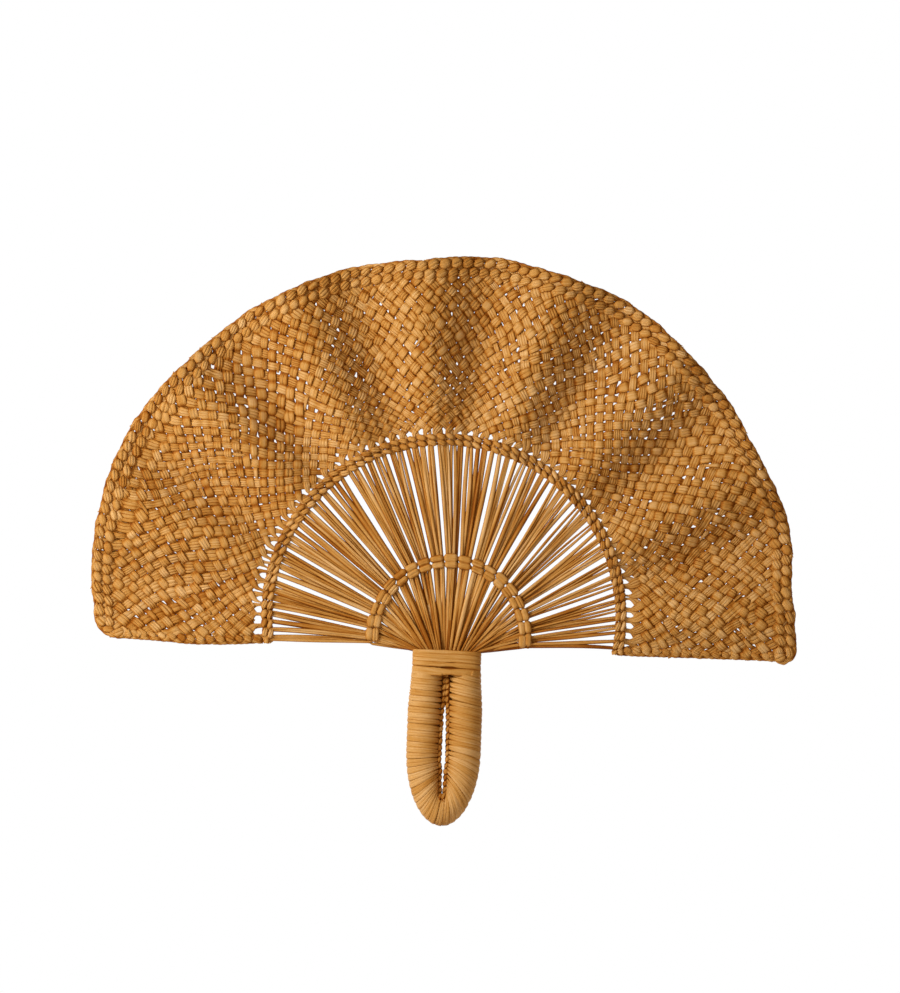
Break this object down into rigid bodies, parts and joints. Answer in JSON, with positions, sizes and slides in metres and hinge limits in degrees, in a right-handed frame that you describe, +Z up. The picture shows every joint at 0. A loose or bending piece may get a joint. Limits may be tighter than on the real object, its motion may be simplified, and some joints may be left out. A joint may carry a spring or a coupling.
{
  "type": "palm leaf hand fan",
  "caption": "Half-round hand fan woven from palm leaf strips on a fan of tied ribs, with a strip-bound loop handle, waved by hand to move air.",
  "frame": {"origin": "middle of the grip: halfway up the bound loop handle, on its centre line", "axes": "+Z up along the handle to the blade, +X to the right seen from the front, the front faces -Y"},
  "size_m": [0.4268, 0.0203, 0.3456],
  "materials": {
    "woven_palm": "matte woven palm leaf strips",
    "plaited_palm": "matte plaited palm leaf",
    "palm_rib": "satin dried palm ribs",
    "twined_palm": "satin twined palm strips",
    "palm_strip": "satin palm binding strip",
    "palm_core": "rough dried palm ribs"
  },
  "bodies": {
    "root": {"woven_blade": "woven_palm", "rim_plait": "plaited_palm", "left_selvedge": "plaited_palm", "right_selvedge": "plaited_palm", "handle_core": "palm_core", "handle_wrap": "palm_strip", "neck_collar": "palm_strip", "rib_bundle_01": "palm_rib", "rib_bundle_02": "palm_rib", "rib_bundle_03": "palm_rib", "rib_bundle_04": "palm_rib", "rib_bundle_05": "palm_rib", "rib_bundle_06": "palm_rib", "rib_bundle_07": "palm_rib", "rib_bundle_08": "palm_rib", "rib_bundle_09": "palm_rib", "rib_bundle_10": "palm_rib", "rib_bundle_11": "palm_rib", "rib_bundle_12": "palm_rib", "rib_bundle_13": "palm_rib", "rib_bundle_14": "palm_rib", "rib_bundle_15": "palm_rib", "rib_bundle_16": "palm_rib", "rib_bundle_17": "palm_rib", "rib_bundle_18": "palm_rib", "rib_bundle_19": "palm_rib", "tie_ring_inner_front": "twined_palm", "tie_ring_inner_back": "twined_palm", "tie_ring_outer_front": "twined_palm", "tie_ring_outer_back": "twined_palm", "band_inner_front": "twined_palm", "band_inner_back": "twined_palm", "band_outer_front": "twined_palm", "band_outer_back": "twined_palm"}
  },
  "joints": []
}
